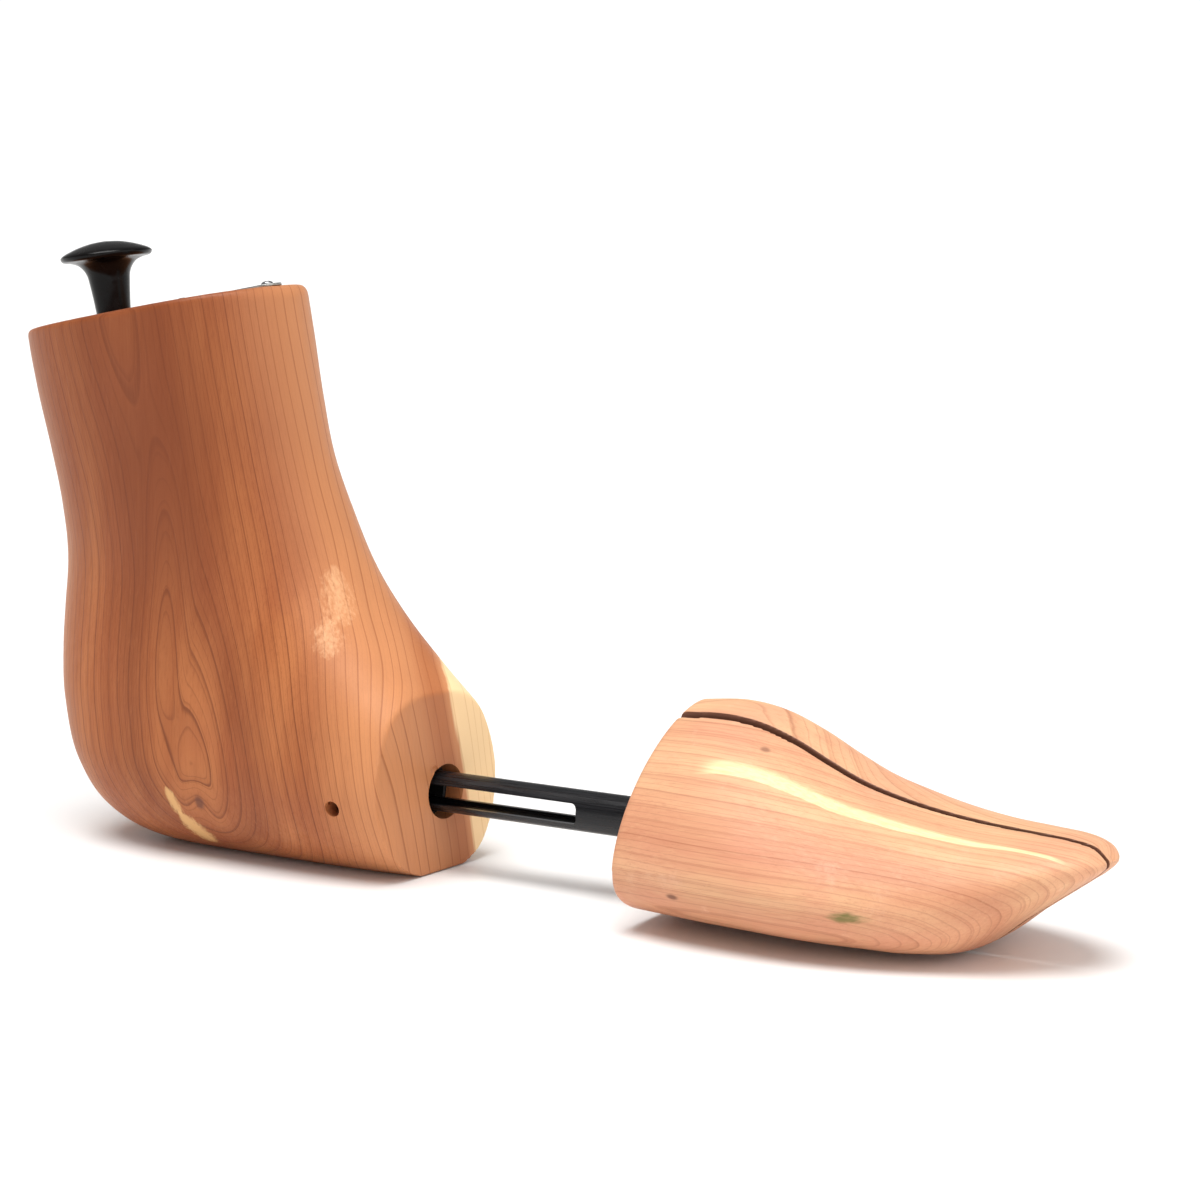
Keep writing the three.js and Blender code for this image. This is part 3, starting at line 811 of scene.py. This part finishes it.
def toe_cedar(name, pith, streaks, knots, marks):
    shader = Shader(name, Specular_IOR_Level=0.3)
    at = shader.place()
    fibres = shader.stretched(at, (0.035, 1.0, 1.0))
    slow = shader.stretched(at, (0.4, 1.0, 1.0))
    x, y, z = shader.split(at)
    across = shader.add(shader.add(y, -pith[0]), shader.swing(shader.noise(slow, 0.03, 2.0), 9.0))
    up = shader.add(shader.add(z, -pith[1]), shader.times(x, pith[2]))
    ring = shader.distance(across, up)
    colour, _, fine, relief = cedar(shader, ring, fibres, TOE_RING_SPACING, TOE_COLOURS, at)
    # Scuffed paler patches.
    scuff = shader.noise(at, 0.09, 6.0, 0.75)
    colour = shader.tint(colour, SCUFF, scuff, 0.56, 0.74, 0.28)
    for start, end, half, bow in streaks:
        share = shader.math("DIVIDE", shader.math("SUBTRACT", x, start[0]), end[0] - start[0])
        bent = shader.times(shader.times(share, shader.math("SUBTRACT", 1.0, share)), 4.0 * bow)
        line_y = shader.add(shader.add(shader.times(share, end[1] - start[1]), start[1]), bent)
        ragged = shader.swing(shader.noise(fibres, 0.35, 3.0), 1.4)
        off = shader.add(shader.math("SUBTRACT", y, line_y), ragged)
        width = shader.rise(share, 1.05, 0.3, 0.25 * half, half)
        over = shader.rise(shader.math("DIVIDE", off, width), 1.5, 0.4)
        under = shader.rise(shader.math("DIVIDE", off, width), -1.1, -0.9)
        ends = shader.times(shader.rise(share, -0.03, 0.05), shader.rise(share, 1.03, 0.96))
        sap = shader.times(shader.times(over, under), shader.times(ends, shader.rise(z, 24.0, 27.0)))
        pale = shader.mix(shader.rise(fine, 0.3, 0.7), srgb(242, 224, 176), srgb(232, 204, 152))
        colour = shader.mix(shader.times(sap, 0.9), colour, pale)
    # Painted shade: the faces of the split are coloured darker, where shade falls in the gap between the
    # halves.
    narrowing = (SPLIT_GAP_TIP - SPLIT_GAP_REAR) / 2 / (TOE_TIP - TOE_REAR)
    half_gap = shader.add(shader.times(shader.math("SUBTRACT", x, TOE_REAR), narrowing), SPLIT_GAP_REAR / 2)
    past_gap = shader.math("SUBTRACT", shader.math("ABSOLUTE", y), half_gap)
    colour = shader.tint(colour, PAINTED_GAP_SHADE, past_gap, 0.5, 0.15, 0.9)
    for centre, size, share in knots:
        knot = shader.spot(at, centre, size)
        colour = shader.tint(colour, KNOT, knot, 0.1, 0.9, share)
    for centre, size, stain in marks:
        patch = shader.add(shader.spot(at, centre, size), shader.swing(shader.noise(fibres, 0.9, 4.0), 1.3))
        colour = shader.tint(colour, stain, patch, 0.1, 1.1, 0.9)
    return finish_wood(shader, colour, relief, fine, 0.52)


def black_lacquer():
    shader = Shader("black_lacquer", Specular_IOR_Level=0.15)
    at = shader.place()
    haze = shader.noise(at, 0.35, 5.0, 0.7)
    shader.set(Base_Color=shader.mix(shader.rise(haze, 0.35, 0.7), srgb(6, 5, 5), srgb(14, 10, 9)))
    shader.set(Roughness=shader.rise(haze, 0.3, 0.75, 0.16, 0.30))
    shader.bump(shader.noise(at, 1.6, 3.0), 0.00002, 0.3)
    return shader.material


def black_paint():
    shader = Shader("black_tube", Specular_IOR_Level=0.3)
    at = shader.place()
    drawn = shader.noise(shader.stretched(at, (0.03, 1.0, 1.0)), 2.2, 4.0, 0.6)
    speck = shader.noise(at, 1.1, 6.0, 0.8)
    colour = shader.mix(shader.rise(drawn, 0.35, 0.7), srgb(14, 14, 16), srgb(28, 28, 31))
    colour = shader.tint(colour, srgb(96, 90, 86), speck, 0.70, 0.78, 0.6)
    shader.set(Base_Color=colour)
    shader.set(Roughness=shader.rise(drawn, 0.3, 0.7, 0.24, 0.36))
    shader.bump(drawn, 0.00002, 0.3)
    return shader.material


def black_plastic():
    shader = Shader("black_plastic", Specular_IOR_Level=0.4)
    grain = shader.noise(shader.place(), 2.5, 3.0, 0.6)
    shader.set(Base_Color=shader.mix(grain, srgb(14, 14, 15), srgb(30, 29, 29)))
    shader.set(Roughness=shader.rise(grain, 0.3, 0.7, 0.42, 0.6))
    shader.bump(grain, 0.00004, 0.4)
    return shader.material


def brushed_metal(name, light, dark, stain, stretch, roughness):
    shader = Shader(name, metallic=1.0)
    at = shader.place()
    brushed = shader.noise(shader.stretched(at, stretch), 3.0, 4.0, 0.7)
    tarnish = shader.noise(at, 0.25, 5.0, 0.65)
    colour = shader.mix(shader.rise(brushed, 0.3, 0.7), light, dark)
    shader.set(Base_Color=shader.tint(colour, stain, tarnish, 0.5, 0.72, 0.6))
    shader.set(Roughness=shader.add(shader.rise(brushed, 0.3, 0.7, roughness - 0.06, roughness + 0.06),
                                    shader.rise(tarnish, 0.5, 0.75, 0.0, 0.14)))
    shader.bump(brushed, 0.00003, 0.35)
    return shader.material


# ---- the pieces ----
HEEL_VOXEL = 0.95
TOE_VOXEL = 0.62
TOP_FRAME = Matrix.Translation(TOP_POINT) @ Matrix.Rotation(-TOP_TILT, 4, "Y")
KNOB_FOOT = TOP_HEIGHT + (KNOB_X - TOP_CENTRE) * math.tan(TOP_TILT)
KNOB_FRAME = Matrix.Translation((KNOB_X, 0, KNOB_FOOT)) @ Matrix.Rotation(-KNOB_TILT, 4, "Y")
PLATE_ALONG_TOP = (PLATE_X - TOP_CENTRE) / math.cos(TOP_TILT)
PLATE_SCREWS = {
    "rear": PLATE_ALONG_TOP - PLATE_SCREW_SPACING / 2,
    "front": PLATE_ALONG_TOP + PLATE_SCREW_SPACING / 2,
}


def chip(centre, size, seed):
    """A small irregular cutter for a splintered rim."""
    work = bmesh.new()
    bmesh.ops.create_icosphere(work, subdivisions=2, radius=1)
    random = np.random.default_rng(seed)
    for vertex in work.verts:
        rough = [c * s * random.uniform(0.75, 1.2) for c, s in zip(vertex.co, size)]
        vertex.co = Vector(centre) + Vector(rough)
    return object_of("chip", work)


def screw_drill(radius, depth, above, sides, matrix):
    """A cutter for a screw's hole, with a pointed end."""
    hole = radius + CLEARANCE
    outline = [(0, -depth - 1), (hole, -depth), (hole, above), (0, above)]
    return placed(lathe("drill", outline, sides), matrix)


def heel_block(material):
    heights = [0, 1, 2, 3.5, 5, 7.5, 10, 13, 17, *np.arange(21, 192, 3.5)]
    work = loft(heights, heel_ring)
    slice_off(work, TOP_POINT, TOP_NORMAL)
    slice_off(work, ON_AXIS, FACE_NORMAL)
    block = settled("cedar_heel_block", work, HEEL_VOXEL, heel_field)
    bushing_seat = -MOUTH_DEPTH - BUSHING_LENGTH - CLEARANCE
    worn = [(MOUTH_RADIUS, -0.9), (MOUTH_RADIUS + 0.35, 0.2), (MOUTH_RADIUS + 0.7, 10)]
    cutters = [
        drill("X", ON_AXIS, MOUTH_RADIUS, bushing_seat, 10, flare=worn),
        drill("X", ON_AXIS, BORE_RADIUS, BORE_END, bushing_seat + BORE_OVERLAP),
        drill("Y", (PIN_X, 0, PIN_Z), PIN_RADIUS + CLEARANCE, -60, 60, 40),
        screw_drill(KNOB_SCREW_RADIUS, KNOB_SCREW_DEPTH, 9, 32, KNOB_FRAME),
        chip((0.2, -5.6, TUBE_HEIGHT + 7.6), (1.3, 2.3, 1.7), 3),
        chip((0.2, -8.6, TUBE_HEIGHT + 3.2), (0.9, 1.2, 1.8), 5),
        chip((PIN_X - 1.6, -33.6, PIN_Z + 1.6), (1.5, 1.4, 1.1), 7),
    ]
    for place in PLATE_SCREWS.values():
        frame_there = TOP_FRAME @ Matrix.Translation((place, 0, 0))
        cutters.append(screw_drill(PLATE_SCREW_RADIUS, PLATE_SCREW_DEPTH, 6, 24, frame_there))
    return piece(cut(block, *cutters), "heel", material, "heel_block")


def toe_half(name, node, side, body, material):
    stations = [*np.arange(TOE_REAR, TOE_TIP - 8, 2.5), TOE_TIP - 6, TOE_TIP - 4, TOE_TIP - 2, TOE_TIP]
    work = loft(stations, toe_ring)
    slope = (SPLIT_GAP_TIP - SPLIT_GAP_REAR) / 2 / (TOE_TIP - TOE_REAR)
    slice_off(work, (TOE_REAR, side * SPLIT_GAP_REAR / 2, 0), unit(slope, -side, 0))
    half = settled(name, work, TOE_VOXEL, toe_half_field(side))
    # The tube is fixed in the lateral half, and the medial half moves past it.
    room = CLEARANCE if side < 0 else SPREAD_TRAVEL + 0.8
    hole = GUIDE_RADIUS + CLEARANCE
    cutters = [drill("X", ON_AXIS, TUBE_RADIUS + room, 0, TUBE_FRONT + 1.5)]
    for x, z in (REAR_GUIDE, FRONT_GUIDE):
        start, end = -GUIDE_REACH - GUIDE_END_ROOM, GUIDE_REACH + GUIDE_CLOSING_ROOM
        cutters.append(drill("Y", (x, 0, z), hole, start, end, 32))
    for spring, (x, z) in ((REAR_COIL, REAR_GUIDE), (FRONT_COIL, FRONT_GUIDE)):
        reach = spring["end"] if side > 0 else -spring["start"]
        if reach > 0:
            start, end = sorted((-3 * side, side * (reach + CLEARANCE)))
            seat = spring["radius"] + spring["wire"] + SPRING_ROOM
            cutters.append(drill("Y", (x, 0, z), seat, start, end, 40))
    return piece(cut(half, *cutters), body, material, node)


def pull_knob(material):
    bore = KNOB_SCREW_RADIUS + CLEARANCE
    foot = [(0, KNOB_HOLE_DEPTH), (bore, KNOB_HOLE_DEPTH), (bore, 0), (5.2, 0), (5.5, 0.3)]
    knob = lathe("turned_knob", foot + flowing(KNOB_OUTLINE)[1:], 128)
    placed(knob, KNOB_FRAME @ Matrix.Translation((0, 0, KNOB_GAP)))
    return piece(knob, "heel", material, "pull_knob")


def name_plate(material):
    round_end = PLATE_WIDTH / 2
    outline = rounded_slot(-PLATE_LENGTH / 2, PLATE_LENGTH / 2, round_end, round_end, 16)
    outline = [p for i, p in enumerate(outline) if math.dist(p, outline[i - 1]) > 1e-3]
    plate = extruded("blank_name_plate", outline, 0, PLATE_THICKNESS)
    bevelled(plate, 0.22, 3)
    for side in (-1, 1):
        x = side * PLATE_SCREW_SPACING / 2
        cut(plate, drill("Z", (x, 0, 0), PLATE_SCREW_RADIUS + CLEARANCE, -2, 3, 32))
    # A shallow pressed border line, and nothing inside it.
    inset = 1.0
    groove_end = PLATE_LENGTH / 2 - inset - 6
    groove = rounded_slot(-groove_end, groove_end, round_end - inset, 2.0, 8)
    inner = [(x * 0.985, y * 0.9) for x, y in groove]
    frame_cutter = extruded("groove", groove, PLATE_THICKNESS - 0.12, PLATE_THICKNESS + 1)
    cut(frame_cutter, extruded("groove_inner", inner, PLATE_THICKNESS - 1, PLATE_THICKNESS + 2))
    cut(plate, frame_cutter)
    placed(plate, TOP_FRAME @ Matrix.Translation((PLATE_ALONG_TOP, 0, PLATE_GAP)))
    return piece(plate, "heel", material, "name_plate")


def plate_screw(name, node, place, turn, material):
    under = PLATE_THICKNESS + 2 * PLATE_GAP
    head, dome = PLATE_SCREW_HEAD, PLATE_SCREW_DOME
    outline = [(0, -PLATE_SCREW_DEPTH), (PLATE_SCREW_RADIUS, -PLATE_SCREW_DEPTH + 2),
               (PLATE_SCREW_RADIUS, under), (head - 0.1, under), (head, under + 0.1)]
    steps = 10
    for i in range(1, steps):
        angle = math.pi / 2 * i / steps
        outline.append((head * math.cos(angle), under + 0.2 + dome * math.sin(angle)))
    outline.append((0, under + 0.2 + dome))
    screw = lathe(name, outline, 40)
    for quarter in (0, 1):
        recess = [(-1.3, -0.2), (1.3, -0.2), (1.3, 0.2), (-1.3, 0.2)]
        slot = extruded("recess", recess, under + 0.5, under + 3)
        cut(screw, placed(slot, Matrix.Rotation(turn + quarter * math.pi / 2, 4, "Z")))
    placed(screw, TOP_FRAME @ Matrix.Translation((place, 0, 0)))
    return piece(screw, "heel", material, node)


def knob_screw(material):
    root = KNOB_SCREW_RADIUS - THREAD_DEPTH
    start = -KNOB_SCREW_DEPTH + 3
    turns = int((KNOB_SCREW_DEPTH + KNOB_HOLE_DEPTH - 4) / THREAD_PITCH)
    outline = [(0, -KNOB_SCREW_DEPTH), (root, start)]
    for i in range(turns):
        outline.append((KNOB_SCREW_RADIUS, start + (i + 0.5) * THREAD_PITCH))
        outline.append((root, start + (i + 1) * THREAD_PITCH))
    outline.append((0, outline[-1][1]))
    screw = placed(lathe("hanger_screw", outline, 40), KNOB_FRAME)
    return piece(screw, "heel", material, "knob_screw")


def slide_tube(material):
    inner = TUBE_RADIUS - TUBE_WALL
    tube = ring_along_x("slotted_tube", TUBE_RADIUS, inner, TUBE_REAR, TUBE_FRONT, 0.25)
    outline = rounded_slot(SLOT_REAR, SLOT_FRONT, SLOT_HEIGHT / 2, SLOT_CORNER, 8)
    slot = extruded("slot", outline, -15, 15)
    cut(tube, placed(slot, along("Y", ON_AXIS)))
    cut(tube, drill("Y", (REAR_GUIDE[0], 0, TUBE_HEIGHT), GUIDE_RADIUS + CLEARANCE, -20, 20, 32))
    return piece(tube, "slide", material, "slide_tube")


def tube_bushing(material):
    front = -MOUTH_DEPTH
    ring = ring_along_x("guide_bushing", MOUTH_RADIUS - CLEARANCE, TUBE_RADIUS + CLEARANCE,
                        front - BUSHING_LENGTH, front, 0.4)
    return piece(ring, "heel", material, "tube_bushing")


def cross_pin(material):
    gap = math.radians(20)
    steps = 40
    angles = [math.pi / 2 + gap + (2 * math.pi - 2 * gap) * i / steps for i in range(steps + 1)]
    outline = [(PIN_RADIUS * math.cos(a), PIN_RADIUS * math.sin(a)) for a in angles]
    inner = PIN_RADIUS - PIN_WALL
    outline += [(inner * math.cos(a), inner * math.sin(a)) for a in reversed(angles)]
    pin = extruded("roll_pin", outline, -PIN_HALF_LENGTH, PIN_HALF_LENGTH)
    placed(pin, Matrix.Translation((PIN_X, 0, PIN_Z)) @ Matrix.Rotation(math.pi / 2, 4, "X"))
    return piece(pin, "heel", material, "cross_pin")


def guide_pin(name, node, place, material):
    chamfer = 0.4
    end_radius = GUIDE_RADIUS - chamfer
    outline = [(0, -GUIDE_REACH), (end_radius, -GUIDE_REACH), (GUIDE_RADIUS, -GUIDE_REACH + chamfer),
               (GUIDE_RADIUS, GUIDE_REACH - chamfer), (end_radius, GUIDE_REACH), (0, GUIDE_REACH)]
    pin = placed(lathe(name, outline, 40), along("Y", (place[0], 0, place[1])))
    return piece(pin, "slide", material, node)


def in_row(point):
    return tuple(ORIGIN + Vector(point) * MM)


def springs(material):
    main = placed(coil("main_coil", **MAIN_COIL), along("X", ON_AXIS))
    piece(main, "heel", material, "main_spring")
    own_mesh(main)
    rows = (("rear_spread_coil", "spread_spring_rear", REAR_COIL, REAR_GUIDE),
            ("front_spread_coil", "spread_spring_front", FRONT_COIL, FRONT_GUIDE))
    for name, node, spring, (x, z) in rows:
        made = placed(coil(name, **spring), along("Y", (x, 0, z)))
        piece(made, "slide", material, node)
        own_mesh(made)


# ---- studio ----
CAMERA_AZIMUTH = math.radians(32.0)
CAMERA_ELEVATION = math.radians(9.1)
CAMERA_TARGET = (56.8, 0, 90.3)
CAMERA_DISTANCE = 958.5
CAMERA_LENS = 96.0
CAMERA_SENSOR = 36.0
FLOOR_SIZE = 4.0  # in metres, like its drop
FLOOR_DROP = 0.0002


def camera():
    """The photograph's view: from the lateral front, a little above the floor."""
    level = math.cos(CAMERA_ELEVATION)
    back = Vector((math.sin(CAMERA_AZIMUTH) * level, -math.cos(CAMERA_AZIMUTH) * level,
                   math.sin(CAMERA_ELEVATION)))
    data = bpy.data.cameras.new("camera")
    data.lens = CAMERA_LENS
    data.sensor_width = CAMERA_SENSOR
    made = bpy.data.objects.new("camera", data)
    made.location = Vector(in_row(CAMERA_TARGET)) + back * CAMERA_DISTANCE * MM
    made.rotation_mode = "QUATERNION"
    made.rotation_quaternion = (-back).to_track_quat("-Z", "Y")
    bpy.context.scene.collection.objects.link(made)
    bpy.context.scene.camera = made


def soft_sun(name, towards, strength, angle):
    """A broad, even light from one side, given as the direction that it comes from."""
    data = bpy.data.lights.new(name, "SUN")
    data.energy = strength
    data.angle = math.radians(angle)
    made = bpy.data.objects.new(name, data)
    made.rotation_mode = "QUATERNION"
    made.rotation_quaternion = Vector(towards).to_track_quat("Z", "Y")
    bpy.context.scene.collection.objects.link(made)


def studio():
    scene = bpy.context.scene
    scene.view_settings.view_transform = "Standard"
    scene.world = bpy.data.worlds.new("white_room")
    scene.world.use_nodes = True
    # The room is white all round the horizon, and the soft light above it is dimmer.
    tree = scene.world.node_tree
    direction = tree.nodes.new("ShaderNodeTexCoord")
    height = tree.nodes.new("ShaderNodeSeparateXYZ")
    level = tree.nodes.new("ShaderNodeMapRange")
    tree.links.new(direction.outputs["Generated"], height.inputs[0])
    tree.links.new(height.outputs["Z"], level.inputs["Value"])
    for name, value in (("From Min", 0.10), ("From Max", 0.22), ("To Min", 1.06), ("To Max", 0.26)):
        level.inputs[name].default_value = value
    background = tree.nodes["Background"]
    background.inputs["Color"].default_value = (1.0, 1.0, 1.0, 1.0)
    tree.links.new(level.outputs["Result"], background.inputs["Strength"])
    soft_sun("overhead", (-0.05, -0.20, 1.0), 3.4, 42)
    soft_sun("from_the_right", (1.0, -0.25, 0.7), 1.45, 80)

    work = bmesh.new()
    bmesh.ops.create_grid(work, x_segments=2, y_segments=2, size=FLOOR_SIZE)
    floor = object_of("floor", work)
    floor.location.z = -FLOOR_DROP
    shader = Shader("white_sweep", roughness=0.3, Specular_IOR_Level=0.12)
    shader.set(Base_Color=(0.9, 0.895, 0.885, 1.0))
    floor.data.materials.append(shader.material)


camera()
studio()

steel = brushed_metal("bright_steel", srgb(196, 196, 198), srgb(150, 151, 154), srgb(110, 100, 92),
                      (1.0, 1.0, 0.08), 0.28)
heel_block(heel_cedar())
toe_half("cedar_toe_lateral", "toe_lateral", -1, "slide",
         toe_cedar("cedar_toe_lateral", (-44.0, 2.0, 0.02),
                   [((105.5, -21.4), (213.0, -12.0), 2.4, 1.7)],
                   [((106.9, -41.6, 14.7), (3.6, 3.0, 1.5), 0.8),
                    ((118.9, -9.4, 53.0), (3.0, 2.2, 2.2), 0.6)],
                   [((161.1, -39.3, 15.6), (9.0, 6.0, 3.0), srgb(104, 104, 52))]))
toe_half("cedar_toe_medial", "toe_medial", 1, "toe_inner",
         toe_cedar("cedar_toe_medial", (30.0, -6.0, 0.015), [],
                   [((140.0, 36.0, 30.0), (4.0, 3.0, 2.6), 0.7)], []))
pull_knob(black_lacquer())
slide_tube(black_paint())
tube_bushing(black_plastic())
name_plate(brushed_metal("plate_metal", srgb(188, 188, 184), srgb(146, 146, 142), srgb(104, 96, 84),
                         (0.06, 1.0, 1.0), 0.36))
for end, turn in (("rear", 0.5), ("front", 1.2)):
    plate_screw(end + "_plate_screw", "plate_screw_" + end, PLATE_SCREWS[end], turn, steel)
knob_screw(steel)
cross_pin(steel)
guide_pin("rear_guide_pin", "guide_pin_rear", REAR_GUIDE, steel)
guide_pin("front_guide_pin", "guide_pin_front", FRONT_GUIDE, steel)
springs(brushed_metal("spring_steel", srgb(180, 180, 184), srgb(132, 132, 136), srgb(96, 84, 72),
                      (1.0, 1.0, 1.0), 0.24))
